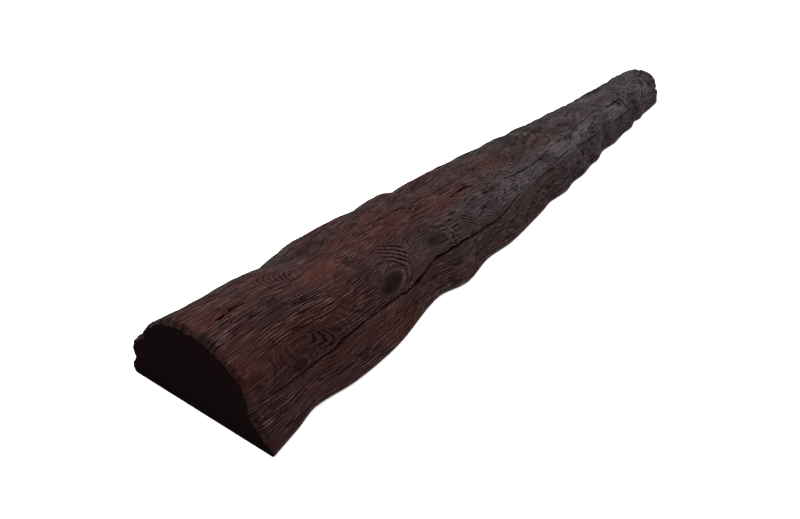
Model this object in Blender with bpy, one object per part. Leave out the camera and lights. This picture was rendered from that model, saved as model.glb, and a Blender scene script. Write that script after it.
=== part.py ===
"""A rustic half-log beam: one length of timber, rounded and waney on top, sawn flat underneath.

Metres, +Z up, +X along the beam. The beam lies on its sawn face, with the origin under the middle of it.
A place on the rounded side is given by its distance from the near end and by its share of the way round
the section, from 0 at the right-hand arris, over the crest at 0.5, to 1 at the left-hand arris.
"""

import math

import bmesh
import bpy
from mathutils import Vector, noise

# Driving dimensions
LENGTH = 2.25
HALF_WIDTH = 0.127
HEIGHT = 0.122
ARRIS = 0.003  # worn edge between the sawn face and the rounded side
RIM, RIM_DEPTH = 0.007, 0.005  # worn edge round each sawn end
GIRTH = math.pi * (HALF_WIDTH + HEIGHT) / 2

# Turning points of the waney outline, as (distance from the near end, value)
RIGHT_HALF_WIDTH = (
    (0.00, 0.1333), (0.045, 0.1270), (0.085, 0.1200), (0.15, 0.1325), (0.245, 0.1350), (0.355, 0.1203),
    (0.40, 0.1190), (0.46, 0.1355), (0.56, 0.1275), (0.65, 0.1362), (0.79, 0.1330), (0.84, 0.1310),
    (0.905, 0.1262), (0.94, 0.1298), (0.995, 0.1345), (1.07, 0.1285), (1.15, 0.1318), (1.24, 0.1258),
    (1.30, 0.1275), (1.40, 0.1156), (1.51, 0.1225), (1.66, 0.1175), (1.745, 0.1208), (1.855, 0.1095),
    (1.91, 0.1164), (1.99, 0.1103), (2.10, 0.1115), (2.25, 0.1085),
)
LEFT_SHOULDER = (
    (0.00, -0.001), (0.07, -0.002), (0.15, -0.001), (0.19, -0.006), (0.24, 0.000), (0.29, 0.006),
    (0.40, 0.006), (0.44, 0.003), (0.485, 0.008), (0.53, -0.009), (0.61, 0.003), (0.72, 0.004),
    (0.79, 0.000), (0.83, 0.004), (0.91, 0.001), (0.97, 0.001), (1.05, -0.011), (1.10, -0.002),
    (1.20, -0.013), (1.25, -0.003), (1.30, -0.006), (1.44, -0.007), (1.54, -0.013), (1.65, -0.007),
    (1.75, -0.018), (1.80, -0.005), (1.89, -0.024), (2.00, -0.006), (2.05, -0.009), (2.12, -0.005),
    (2.25, -0.001),
)
SHOULDER_PLACE, SHOULDER_SPREAD = 0.70, 0.25
SHOULDER_TO_ARRIS = 0.6  # how much of the shoulder's wave the left-hand arris below it shares

# Drying cracks that run with the grain: the line of each round the section, and its open stretches
# as (start, end, depth)
CRACKS = (
    (
        ((0.00, 0.165), (0.075, 0.140), (0.115, 0.148), (0.160, 0.170), (0.250, 0.170), (0.335, 0.138),
         (0.400, 0.166), (0.460, 0.187), (0.530, 0.164), (0.600, 0.160), (0.650, 0.171), (0.710, 0.192),
         (0.800, 0.185), (0.860, 0.180), (0.930, 0.187), (1.100, 0.190), (1.200, 0.185), (1.600, 0.170),
         (2.050, 0.190), (2.100, 0.145), (2.250, 0.130)),
        ((0.00, 0.26, 0.006), (0.22, 0.54, 0.015), (0.50, 0.73, 0.009), (0.84, 0.95, 0.004),
         (1.50, 1.72, 0.004), (2.04, 2.14, 0.006)),
    ),
    (
        ((0.00, 0.350), (0.20, 0.345), (0.43, 0.357), (0.56, 0.366), (0.64, 0.345), (0.73, 0.297),
         (0.90, 0.272), (1.08, 0.285), (1.20, 0.315), (1.50, 0.325), (1.56, 0.302), (1.73, 0.296),
         (2.25, 0.290)),
        ((0.075, 0.112, 0.0015), (0.39, 0.45, 0.002), (0.53, 0.61, 0.007), (0.70, 0.96, 0.008),
         (1.06, 1.50, 0.006), (1.52, 1.74, 0.007)),
    ),
    (
        ((0.00, 0.440), (0.07, 0.431), (0.20, 0.470), (0.32, 0.475), (0.38, 0.461), (0.60, 0.445),
         (0.70, 0.452), (1.20, 0.450), (2.05, 0.385), (2.25, 0.395)),
        ((0.03, 0.075, 0.008), (0.18, 0.25, 0.002), (0.31, 0.62, 0.003), (0.67, 0.72, 0.004),
         (2.08, 2.25, 0.006)),
    ),
    (
        ((0.00, 0.640), (0.70, 0.620), (1.40, 0.660), (2.25, 0.630)),
        ((0.34, 0.82, 0.008), (1.18, 1.64, 0.007)),
    ),
    (
        ((0.00, 0.830), (0.80, 0.820), (1.50, 0.840), (2.25, 0.820)),
        ((0.07, 0.42, 0.008), (0.92, 1.78, 0.013)),
    ),
)
CRACK_LINES = (0.16, 0.31, 0.44, 0.64, 0.83)  # where the cracks lie on average
CRACK_HALF_WIDTH = 0.0035
CRACK_LIP = (0.030, 0.030, 0.20)  # the lip above a crack: offset, spread, and height by the crack's depth

# Healed branch stubs, longer along the grain than across it: (distance, share, bulge, radius)
KNOTS = (
    (0.150, 0.490, 0.0030, 0.030),
    (0.275, 0.215, 0.0070, 0.042),
    (0.410, 0.245, 0.0075, 0.040),
    (0.510, 0.325, 0.0030, 0.050),
    (0.590, 0.235, 0.0045, 0.045),
    (0.730, 0.245, 0.0060, 0.048),
    (1.050, 0.240, 0.0045, 0.060),
    (1.330, 0.240, 0.0040, 0.060),
    (1.660, 0.245, 0.0050, 0.055),
    (2.060, 0.300, 0.0045, 0.055),
    (0.560, 0.860, 0.0080, 0.045),
    (1.120, 0.500, 0.0050, 0.045),
    (1.450, 0.870, 0.0080, 0.050),
    (1.950, 0.530, 0.0050, 0.050),
)
KNOT_STRETCH = 1.5
KNOT_REACH = 2.5  # in radii
EYE_DEPTH, EYE_SIZE = 0.45, 0.29  # the eye in the middle, as shares of the bulge and the radius

# Hollows and swellings of the section: (share of the way round, spread, depth)
RIGHT_FLANK_HOLLOW = (0.080, 0.050, 0.009)
LEFT_FLANK_HOLLOW = (0.905, 0.045, 0.010)
RIGHT_SHOULDER_SWELL = (0.300, 0.090, 0.006)
LEFT_SHOULDER_EASE = (0.700, 0.110, 0.004)
CROSS_HOLLOW = (1.145, 0.014, 0.006)  # distance, spread and depth of the dent across the right shoulder
CROSS_HOLLOW_PLACE, CROSS_HOLLOW_GIRTH = 0.23, 0.07
NEAR_END_HOLLOW = (0.115, 0.080, 0.016)
RIGHT_CREASE = (0.76, 1.78, 0.018, 0.0035)  # fold that carries on the long crack: start, end, spread, depth
CREASE_FADE = 0.12
NEAR_END_SKEW = 0.0056  # how far the near end is cut back at its left-hand side

# Steps and bumps in the outlines of the ends: (share of the way round, spread, height)
NEAR_END_BUMPS = (
    (0.44, 0.14, -0.0035), (0.775, 0.045, -0.0065), (0.930, 0.014, -0.0015), (0.975, 0.025, 0.0060),
)
FAR_END_BUMPS = ((0.25, 0.20, 0.012), (0.47, 0.10, 0.0085), (0.455, 0.02, -0.004), (0.155, 0.015, -0.004))
END_REACH = 0.06  # how far an end's own shape reaches along the beam

LUMP = 0.0055  # broad swellings left by the growing tree
LUMP_LENGTH, LUMP_GIRTH = 0.23, 0.12
FACET = 0.0020  # shallow facets left by the adze
FACET_LENGTH, FACET_GIRTH = 0.110, 0.042
EDGE_WAVE = 0.006  # waviness of the left-hand arris
EDGE_WAVE_LENGTH = 0.16
ARRIS_FADE, FLANK_FADE = 0.07, 0.035  # shares of the way round over which relief dies out at the arrises
QUIET_SHOULDER, QUIET_SPREAD = 0.70, 0.08  # the left shoulder follows its outline alone
NOISE_GAIN = 1.7

# Mesh
RING_STEP = 0.0235
COLUMN_STEP = 0.012
UNDERSIDE_COLUMNS = 4
RIM_RING = 0.3  # place of the extra ring within each worn rim
END_RINGS = (0.80, 0.52, 0.24)
PITH_SIDE, PITH_HEIGHT = 0.004, 0.034  # middle of the growth rings on the sawn ends
SAW_ROUGHNESS = 0.0012
SAW_PITCH = 0.022
SHARP_ANGLE = math.radians(38)

WOOD_COLOUR = (0.045, 0.023, 0.020, 1.0)
WOOD_ROUGHNESS = 0.58


def along(points, x):
    """The smooth curve through (distance, value) points, read at x."""
    last = len(points) - 1
    i = max(0, min(last - 1, sum(1 for p in points if p[0] <= x) - 1))

    def slope(k):
        a, b = points[max(k - 1, 0)], points[min(k + 1, last)]
        return (b[1] - a[1]) / (b[0] - a[0])

    (x0, y0), (x1, y1) = points[i], points[i + 1]
    span = x1 - x0
    t = (x - x0) / span
    return (
        (2 * t**3 - 3 * t**2 + 1) * y0
        + (t**3 - 2 * t**2 + t) * span * slope(i)
        + (3 * t**2 - 2 * t**3) * y1
        + (t**3 - t**2) * span * slope(i + 1)
    )


def ease(t):
    t = max(0.0, min(1.0, t))
    return t * t * (3 - 2 * t)


def hump(v, centre, spread):
    return math.exp(-(((v - centre) / spread) ** 2))


def rough(x, v, length, girth, layer):
    """Smooth noise of about -1 to 1, with its own size along and round the beam. Layers differ."""
    return NOISE_GAIN * noise.noise(Vector((x / length, v * GIRTH / girth, layer * 7.31)))


def half_widths(x):
    """Half widths of the section at x, to the right and to the left of the pith."""
    wave = EDGE_WAVE * rough(x, 0.0, EDGE_WAVE_LENGTH, 1.0, 3)
    left = HALF_WIDTH + SHOULDER_TO_ARRIS * along(LEFT_SHOULDER, x)
    return along(RIGHT_HALF_WIDTH, x), left + wave * (1 - math.exp(-x / END_REACH))


def crack_depth(stretches, x):
    """Depth of a crack at x: nothing between its open stretches, most in the middle of each."""
    depth = 0.0
    for start, end, most in stretches:
        if start < x < end:
            share = math.sin(math.pi * (x - start) / (end - start))
            gape = 0.8 + 0.2 * rough(x, 0.0, 0.06, 1.0, 5)
            depth = max(depth, most * math.sqrt(share) * gape)
    return depth


def knot_relief(x, v):
    """Swelling round each healed stub, with a shallow eye in its middle."""
    total = 0.0
    for at, share, bulge, radius in KNOTS:
        dx = (x - at) / (KNOT_STRETCH * radius)
        dy = (v - share) * GIRTH / radius
        away = math.hypot(dx, dy)
        if away < KNOT_REACH:
            total += bulge * (hump(away, 0.0, 1.0) - EYE_DEPTH * hump(away, 0.0, EYE_SIZE))
    return total


def lip_relief(x, v):
    """The wood stands proud above each open crack, where it grew over the fold."""
    offset, spread, rise = CRACK_LIP
    return sum(
        rise * crack_depth(stretches, x) * hump(v, along(path, x) + offset, spread)
        for path, stretches in CRACKS
    )


def flank_hollow(x, v, near, far):
    """The hollows just above the two arrises, which make the foot of the section flare."""
    depth = 0.85 + 0.35 * rough(x, 0.0, 0.15, 1.0, 2)
    place, spread, right = RIGHT_FLANK_HOLLOW
    hollow = right * depth * (1 - near - far) * hump(v, place, spread)
    place, spread, right = NEAR_END_HOLLOW
    hollow += right * near * hump(v, place, spread)
    place, spread, left = LEFT_FLANK_HOLLOW
    hollow += left * depth * (1 - near) * hump(v, place, spread)
    return hollow * ease(v / FLANK_FADE) * ease((1 - v) / FLANK_FADE)


def crease(x, v):
    """The fold along the right flank, on the line of the long crack."""
    start, end, spread, deep = RIGHT_CREASE
    here = ease((x - start) / CREASE_FADE) * ease((end - x) / CREASE_FADE)
    return deep * here * hump(v, along(CRACKS[0][0], x), spread)


def shoulder_relief(x, v):
    """The long swellings of the two shoulders and the dent across the right-hand one."""
    out = along(LEFT_SHOULDER, x) * hump(v, SHOULDER_PLACE, SHOULDER_SPREAD)
    place, spread, height = RIGHT_SHOULDER_SWELL
    out += height * hump(v, place, spread) * (0.7 + 0.5 * rough(x, 0.0, 0.20, 1.0, 1))
    place, spread, height = LEFT_SHOULDER_EASE
    out -= height * hump(v, place, spread)
    place, spread, height = CROSS_HOLLOW
    out -= height * hump(x, place, spread) * hump(v, CROSS_HOLLOW_PLACE, CROSS_HOLLOW_GIRTH)
    return out


def relief(x, v):
    """How far the timber stands out from the plain half round, apart from its cracks."""
    near = math.exp(-x / END_REACH)
    far = math.exp((x - LENGTH) / END_REACH)
    lumps = LUMP * rough(x, v, LUMP_LENGTH, LUMP_GIRTH, 0)
    lumps += FACET * rough(x, v, FACET_LENGTH, FACET_GIRTH, 4)
    lumps *= 1 - hump(v, QUIET_SHOULDER, QUIET_SPREAD)
    out = shoulder_relief(x, v) + lumps + knot_relief(x, v) + lip_relief(x, v)
    out *= ease(v / ARRIS_FADE) * ease((1 - v) / ARRIS_FADE)
    out -= flank_hollow(x, v, near, far) + crease(x, v)
    out += near * sum(height * hump(v, at, spread) for at, spread, height in NEAR_END_BUMPS)
    out += far * sum(height * hump(v, at, spread) for at, spread, height in FAR_END_BUMPS)
    return out


def rim_wear(x, v):
    """How far the edge round a sawn end is worn back."""
    near = min(x, LENGTH - x)
    if near >= RIM:
        return 0.0
    short = 1 - near / RIM
    round_off = RIM_DEPTH * (1 - math.sqrt(max(0.0, 1 - short * short)))
    chip = 0.85 + 0.35 * rough(0.0, v, 1.0, 0.030, 6)
    return round_off * chip * ease(v / FLANK_FADE) * ease((1 - v) / FLANK_FADE)


def skin_point(x, v, groove=0.0):
    """A point of the rounded side, sunk by groove."""
    right, left = half_widths(x)
    turn = math.pi * v
    half = right if v < 0.5 else left
    out = relief(x, v) - rim_wear(x, v) - groove
    y = (half + out) * math.cos(turn)
    z = ARRIS + (HEIGHT - ARRIS + out) * math.sin(turn)
    skew = NEAR_END_SKEW * (1 - math.cos(turn)) / 2 * math.exp(-x / END_REACH)
    return Vector((x - LENGTH / 2 + skew, -y, z))


def column_places():
    """(place, crack or None) of each lengthwise line of points, denser at the cracks."""
    lip = CRACK_HALF_WIDTH / GIRTH
    places = []
    start = 0.0
    for k, line in enumerate(CRACK_LINES + (1.0,)):
        end = line - lip if line < 1 else 1.0
        count = round((end - start) * GIRTH / COLUMN_STEP)
        places += [(start + (end - start) * i / count, None) for i in range(count)]
        if line < 1:
            places += [(end, None), (line, k)]
            start = line + lip
        else:
            places.append((1.0, None))
    return places


def place_on(lines, u):
    """Where a lengthwise line runs at one section, given where the cracks run there."""
    marks = (0.0,) + CRACK_LINES + (1.0,)
    values = (0.0,) + lines + (1.0,)
    i = max(k for k in range(len(marks) - 1) if marks[k] <= u)
    return values[i] + (values[i + 1] - values[i]) * (u - marks[i]) / (marks[i + 1] - marks[i])


def section(x, columns):
    """The closed outline of the beam at x: over the rounded side, then back across the sawn face."""
    lines = tuple(along(path, x) for path, _ in CRACKS)
    points = []
    for u, crack in columns:
        groove = 0.0 if crack is None else crack_depth(CRACKS[crack][1], x)
        points.append(skin_point(x, place_on(lines, u), groove))
    inset = Vector((0.0, ARRIS, 0.0))
    left, right = points[-1] - inset, points[0] + inset
    for i in range(UNDERSIDE_COLUMNS + 1):
        p = left.lerp(right, i / UNDERSIDE_COLUMNS)
        points.append(Vector((p.x, p.y, 0.0)))
    return points


def ring_places():
    count = round(LENGTH / RING_STEP)
    inner = [RIM + (LENGTH - 2 * RIM) * i / count for i in range(count + 1)]
    return [0.0, RIM * RIM_RING] + inner + [LENGTH - RIM * RIM_RING, LENGTH]


def pith(outline):
    """The middle of the growth rings on a sawn end."""
    places = [p.x for p in outline]
    return Vector(((min(places) + max(places)) / 2, PITH_SIDE, PITH_HEIGHT))


def end_points(outline, share, inward):
    """A smaller copy of a sawn end's outline, closing on the pith, with the saw's roughness."""
    centre = pith(outline)
    points = []
    for p in outline:
        q = centre.lerp(p, share)
        depth = SAW_ROUGHNESS * max(0.0, 1 + rough(q.y, q.z / GIRTH, SAW_PITCH, SAW_PITCH, 8))
        points.append(q + Vector((inward * depth, 0.0, 0.0)))
    return points


def join(bm, ring, following, flip):
    """Quads between two closed outlines with as many points each."""
    count = len(ring)
    for i in range(count):
        j = (i + 1) % count
        corners = (ring[i], ring[j], following[j], following[i])
        bm.faces.new(corners[::-1] if flip else corners)


def close_end(bm, ring, outline, inward):
    flip = inward < 0
    for share in END_RINGS:
        inner = [bm.verts.new(p) for p in end_points(outline, share, inward)]
        join(bm, inner, ring, flip)
        ring = inner
    middle = bm.verts.new(pith(outline) + Vector((inward * SAW_ROUGHNESS, 0.0, 0.0)))
    for i, corner in enumerate(ring):
        corners = (middle, corner, ring[(i + 1) % len(ring)])
        bm.faces.new(corners[::-1] if not flip else corners)


def beam_mesh():
    bm = bmesh.new()
    columns = column_places()
    outlines = [section(x, columns) for x in ring_places()]
    rings = [[bm.verts.new(p) for p in outline] for outline in outlines]
    for ring, following in zip(rings, rings[1:]):
        join(bm, ring, following, False)
    close_end(bm, rings[0], outlines[0], 1.0)
    close_end(bm, rings[-1], outlines[-1], -1.0)
    bmesh.ops.recalc_face_normals(bm, faces=bm.faces)
    low = min(v.co.y for v in bm.verts)
    high = max(v.co.y for v in bm.verts)
    bmesh.ops.translate(bm, vec=(0.0, -(low + high) / 2, 0.0), verts=bm.verts)
    mesh = bpy.data.meshes.new("beam")
    bm.to_mesh(mesh)
    bm.free()
    mesh.shade_smooth()
    mesh.set_sharp_from_angle(angle=SHARP_ANGLE)
    return mesh


def stained_wood():
    material = bpy.data.materials.new("dark_stained_wood")
    material.use_nodes = True
    shader = material.node_tree.nodes["Principled BSDF"]
    shader.inputs["Base Color"].default_value = WOOD_COLOUR
    shader.inputs["Roughness"].default_value = WOOD_ROUGHNESS
    shader.inputs["Metallic"].default_value = 0.0
    return material


def main():
    for old in list(bpy.data.objects):
        bpy.data.objects.remove(old)
    beam = bpy.data.objects.new("beam", beam_mesh())
    beam.data.materials.append(stained_wood())
    bpy.context.scene.collection.objects.link(beam)


main()
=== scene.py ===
"""Dresses a rustic half-log beam: a finely ridged, cracked and stained timber, and the stage that shows it.

Metres, +Z up, +X along the beam. A place on the rounded side is given by its distance from the near end
and by its share of the way round the section, from 0 at the right-hand arris to 1 at the left-hand one.
"""

import math

import bpy
import numpy as np
from bpy.props import FloatProperty, FloatVectorProperty, PointerProperty
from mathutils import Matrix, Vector, noise


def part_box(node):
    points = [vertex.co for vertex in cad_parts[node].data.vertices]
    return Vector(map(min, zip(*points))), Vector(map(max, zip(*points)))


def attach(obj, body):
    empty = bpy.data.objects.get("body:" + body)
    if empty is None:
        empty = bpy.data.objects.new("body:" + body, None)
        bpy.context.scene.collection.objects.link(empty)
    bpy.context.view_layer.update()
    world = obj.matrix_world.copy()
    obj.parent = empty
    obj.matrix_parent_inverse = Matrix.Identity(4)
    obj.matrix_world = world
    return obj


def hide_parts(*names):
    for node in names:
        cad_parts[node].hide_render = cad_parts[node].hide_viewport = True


bl_info = {
    "name": "Rustic Half-Log Beam",
    "version": (1, 0, 0),
    "blender": (4, 5, 0),
    "location": "View3D > Sidebar > Beam",
    "description": "Builds the ridged, cracked and stained timber of a half-log beam, and its stage",
    "category": "Object",
}

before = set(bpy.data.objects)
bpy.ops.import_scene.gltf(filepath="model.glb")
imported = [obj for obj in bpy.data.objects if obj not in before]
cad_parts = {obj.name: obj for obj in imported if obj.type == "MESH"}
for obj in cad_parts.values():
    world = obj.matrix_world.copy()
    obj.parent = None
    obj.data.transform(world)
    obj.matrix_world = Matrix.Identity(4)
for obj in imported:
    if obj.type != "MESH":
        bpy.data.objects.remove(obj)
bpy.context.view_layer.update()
BEAM_LOW, BEAM_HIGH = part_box("beam")

# Driving dimensions of the timber, as in the solid
LENGTH = BEAM_HIGH.x - BEAM_LOW.x
HALF_WIDTH = 0.127
HEIGHT = 0.122
ARRIS = 0.003
RIM, RIM_DEPTH = 0.007, 0.005
GIRTH = math.pi * (HALF_WIDTH + HEIGHT) / 2


def thousandths(*rows):
    """The rows of a table, each number divided by 1000."""
    return tuple(thousandths(*row) if isinstance(row, tuple) else row / 1000 for row in rows)


# Tables read by thousandths have their lengths in millimetres, and shares, strengths, slopes and stretches
# in thousandths. All else is in metres.

# Turning points of the waney outline, as (distance from the near end, value)
RIGHT_HALF_WIDTH = thousandths(
    (0, 133.3), (45, 127), (85, 120), (150, 132.5), (245, 135), (355, 120.3), (400, 119), (460, 135.5),
    (560, 127.5), (650, 136.2), (790, 133), (840, 131), (905, 126.2), (940, 129.8), (995, 134.5),
    (1070, 128.5), (1150, 131.8), (1240, 125.8), (1300, 127.5), (1400, 115.6), (1510, 122.5),
    (1660, 117.5), (1745, 120.8), (1855, 109.5), (1910, 116.4), (1990, 110.3), (2100, 111.5),
    (2250, 108.5),
)
LEFT_SHOULDER = thousandths(
    (0, -1), (70, -2), (150, -1), (190, -6), (240, 0), (290, 6), (400, 6), (440, 3), (485, 8), (530, -9),
    (610, 3), (720, 4), (790, 0), (830, 4), (910, 1), (970, 1), (1050, -11), (1100, -2), (1200, -13),
    (1250, -3), (1300, -6), (1440, -7), (1540, -13), (1650, -7), (1750, -18), (1800, -5), (1890, -24),
    (2000, -6), (2050, -9), (2120, -5), (2250, -1),
)
SHOULDER_PLACE, SHOULDER_SPREAD = 0.7, 0.25
SHOULDER_TO_ARRIS = 0.6

# Drying cracks: the line of each round the section, and its open stretches as (start, end, depth)
CRACKS = thousandths(
    (
        ((0, 165), (75, 140), (115, 148), (160, 170), (250, 170), (335, 138), (400, 166), (460, 187),
         (530, 164), (600, 160), (650, 171), (710, 192), (800, 185), (860, 180), (930, 187), (1100, 190),
         (1200, 185), (1600, 170), (2050, 190), (2100, 145), (2250, 130)),
        ((0, 260, 6), (220, 540, 15), (500, 730, 9), (840, 950, 4), (1500, 1720, 4), (2040, 2140, 6)),
    ),
    (
        ((0, 350), (200, 345), (430, 357), (560, 366), (640, 345), (730, 297), (900, 272), (1080, 285),
         (1200, 315), (1500, 325), (1560, 302), (1730, 296), (2250, 290)),
        ((75, 112, 1.5), (390, 450, 2), (530, 610, 7), (700, 960, 8), (1060, 1500, 6), (1520, 1740, 7)),
    ),
    (
        ((0, 440), (70, 431), (200, 470), (320, 475), (380, 461), (600, 445), (700, 452), (1200, 450),
         (2050, 385), (2250, 395)),
        ((30, 75, 8), (180, 250, 2), (310, 620, 3), (670, 720, 4), (2080, 2250, 6)),
    ),
    (
        ((0, 640), (700, 620), (1400, 660), (2250, 630)),
        ((340, 820, 8), (1180, 1640, 7)),
    ),
    (
        ((0, 830), (800, 820), (1500, 840), (2250, 820)),
        ((70, 420, 8), (920, 1780, 13)),
    ),
)
CRACK_LINES = (0.16, 0.31, 0.44, 0.64, 0.83)
CRACK_LIP = (0.03, 0.03, 0.2)

# Healed branch stubs: (distance, share, bulge, radius)
KNOTS = thousandths(
    (150, 490, 3, 30), (275, 215, 7, 42), (410, 245, 7.5, 40), (510, 325, 3, 50), (590, 235, 4.5, 45),
    (730, 245, 6, 48), (1050, 240, 4.5, 60), (1330, 240, 4, 60), (1660, 245, 5, 55), (2060, 300, 4.5, 55),
    (560, 860, 8, 45), (1120, 500, 5, 45), (1450, 870, 8, 50), (1950, 530, 5, 50),
)
KNOT_STRETCH = 1.5
EYE_DEPTH, EYE_SIZE = 0.45, 0.29

# Hollows and swellings of the section: (share of the way round, spread, depth)
RIGHT_FLANK_HOLLOW = (0.08, 0.05, 0.009)
LEFT_FLANK_HOLLOW = (0.905, 0.045, 0.01)
RIGHT_SHOULDER_SWELL = (0.3, 0.09, 0.006)
LEFT_SHOULDER_EASE = (0.7, 0.11, 0.004)
CROSS_HOLLOW = (1.145, 0.014, 0.006)
CROSS_HOLLOW_PLACE, CROSS_HOLLOW_GIRTH = 0.23, 0.07
NEAR_END_HOLLOW = (0.115, 0.08, 0.016)
RIGHT_CREASE = (0.76, 1.78, 0.018, 0.0035)
CREASE_FADE = 0.12
NEAR_END_SKEW = 0.0056
NEAR_END_BUMPS = (
    (0.44, 0.14, -0.0035), (0.775, 0.045, -0.0065), (0.93, 0.014, -0.0015), (0.975, 0.025, 0.006),
)
FAR_END_BUMPS = ((0.25, 0.2, 0.012), (0.47, 0.1, 0.0085), (0.455, 0.02, -0.004), (0.155, 0.015, -0.004))
END_REACH = 0.06

LUMP, LUMP_LENGTH, LUMP_GIRTH = 0.0055, 0.23, 0.12
FACET, FACET_LENGTH, FACET_GIRTH = 0.002, 0.11, 0.042
EDGE_WAVE, EDGE_WAVE_LENGTH = 0.006, 0.16
ARRIS_FADE, FLANK_FADE = 0.07, 0.035
QUIET_SHOULDER, QUIET_SPREAD = 0.7, 0.08
NOISE_GAIN, LAYER_STEP = 1.7, 7.31
# How each of these wavers along the beam: (mean, change, length, layer)
GAPE_WAVER, HOLLOW_WAVER, SHOULDER_WAVER = (0.8, 0.2, 0.06, 5), (0.85, 0.35, 0.15, 2), (0.7, 0.5, 0.2, 1)
# Chips of the rim: (change, girth, layer)
CHIP_MEAN, CHIPS = 0.85, ((0.45, 0.03, 6), (0.45, 0.007, 7))

# Fine form that the solid leaves out
DIMPLE, DIMPLE_LENGTH, DIMPLE_GIRTH = 0.0007, 0.03, 0.016
CRACK_MOUTH = 0.0006  # half width of a hairline crack
CRACK_OPENING = (0.11, 0.05, 0.05, 0.08, 0.08)  # how much wider each crack gets by its depth
MAIN_CRACK_GAPE = (0.345, 0.014, 1.4)  # distance, spread and extra width where the long crack gapes
# How a crack's mouth and line waver: (mean, change, length)
MOUTH_WAVER, CRACK_WANDER, CRACK_JAG = (1.0, 0.35, 0.018), (0.0, 0.0014, 0.022), (0.0, 0.0007, 0.007)
CRACK_WALL = 0.7  # 1 is a plain V, and less than 1 a fuller groove
CRACK_FULL_DEPTH = 0.003  # depth from which a crack is dark all through
WRINKLE, WRINKLE_LENGTH, WRINKLE_GIRTH = 0.0016, 0.085, 0.02
FOLD, FOLD_LENGTH, FOLD_GIRTH, FOLD_SHARPNESS = 0.4, 0.035, 0.01, 2.2
# The last of these is how dark the folds are painted: stain and painted shade of their depth
WRINKLE_BASE, WRINKLE_RISE, WRINKLE_FROM, WRINKLE_STAIN_AND_SHADE = 0.45, 0.2, 0.4, 0.3
DIMPLE_RISE, DIMPLE_FROM = 1.3, 0.6
RISE_LENGTH = 0.5  # over which wrinkles and dimples grow towards the far end
FOOT = 0.02  # share of the way round, at both edges, that stays plain
FLANK_SHARE = 0.25  # up to here the cracks are paler at the near end
# How dark the cracks are painted, as stain and painted shade of their depth: the share the near flank keeps,
# and where and how fast it grows to full
CRACK_STAIN_AND_SHADE, CRACK_STAIN_AND_SHADE_FROM, CRACK_STAIN_AND_SHADE_FADE = 0.28, 0.17, 0.08
KNOT_PARTING = 0.2  # how far the grain lines part round a knot
# Slow bending of the grain and warping of the figure: (height, length, girth, layer)
GRAIN_WAVES = ((0.0016, 0.16, 0.05, 30), (0.0006, 0.045, 0.016, 31))
WARPS_ALONG = ((0.008, 0.06, 0.03, 32), (0.002, 0.02, 0.012, 37))
WARPS_ROUND = ((0.006, 0.055, 0.026, 33), (0.0015, 0.022, 0.01, 38))
FIGURE_START = 1.5  # lines over which a closed figure grows out of the straight grain

# Centres that the lines of the figure close round, as contour lines do round a hill:
# (distance, share, reach, stretch, line spacing)
CENTRES = thousandths(
    (270, 200, 92, 800, 8.6), (407, 238, 52, 850, 6.6), (213, 395, 80, 1000, 8.4), (78, 172, 36, 650, 6),
    (100, 196, 30, 500, 4.8), (455, 215, 70, 900, 6.2), (640, 235, 52, 600, 6.4), (480, 5, 75, 900, 6.2),
    (520, 360, 50, 450, 8), (700, 240, 50, 600, 7.4), (750, 400, 70, 500, 9), (840, 210, 50, 500, 7.6),
    (1040, 310, 110, 1000, 13), (1050, 230, 55, 600, 8.5), (1300, 350, 90, 600, 11),
    (1330, 225, 50, 550, 9), (1480, 260, 60, 500, 9.5), (1560, 430, 80, 500, 13),
    (1660, 350, 70, 800, 11), (1900, 190, 70, 700, 11), (2060, 300, 60, 700, 11), (330, 780, 90, 600, 7),
    (560, 860, 60, 600, 6.6), (1030, 740, 90, 600, 7.5), (1450, 870, 60, 600, 7),
    (1700, 760, 90, 600, 7.8), (1950, 530, 60, 700, 10), (750, 600, 70, 500, 8), (1300, 640, 70, 500, 8),
)
# Patches where the figure shows: (distance, share, half length, half width, strength)
FIGURES = thousandths(
    (250, 225, 30, 8, 300), (330, 330, 30, 10, 250), (238, 290, 20, 12, 250), (385, 250, 20, 14, 300),
    (432, 250, 20, 12, 100), (35, 220, 30, 12, 300), (113, 192, 20, 9, 300), (160, 205, 26, 10, 300),
    (370, 300, 30, 10, 300), (640, 290, 32, 10, 500), (430, 85, 34, 12, 100), (560, 300, 30, 10, 300),
    (590, 220, 50, 12, 450), (700, 240, 40, 14, 450), (690, 455, 40, 10, 450), (820, 400, 50, 14, 400),
    (840, 225, 50, 12, 450), (1000, 455, 70, 14, 550), (1050, 230, 50, 14, 200), (1240, 400, 60, 14, 350),
    (1330, 230, 60, 14, 200), (1500, 250, 70, 14, 450), (1660, 260, 50, 16, 800),
    (1720, 300, 40, 12, 600), (1880, 210, 60, 18, 600), (2060, 300, 50, 20, 600), (290, 780, 70, 24, 700),
    (560, 860, 50, 22, 800), (1000, 740, 70, 24, 700), (1450, 870, 50, 22, 800), (1730, 760, 70, 24, 700),
    (1950, 530, 50, 22, 700), (1450, 80, 50, 12, 350),
)
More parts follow.
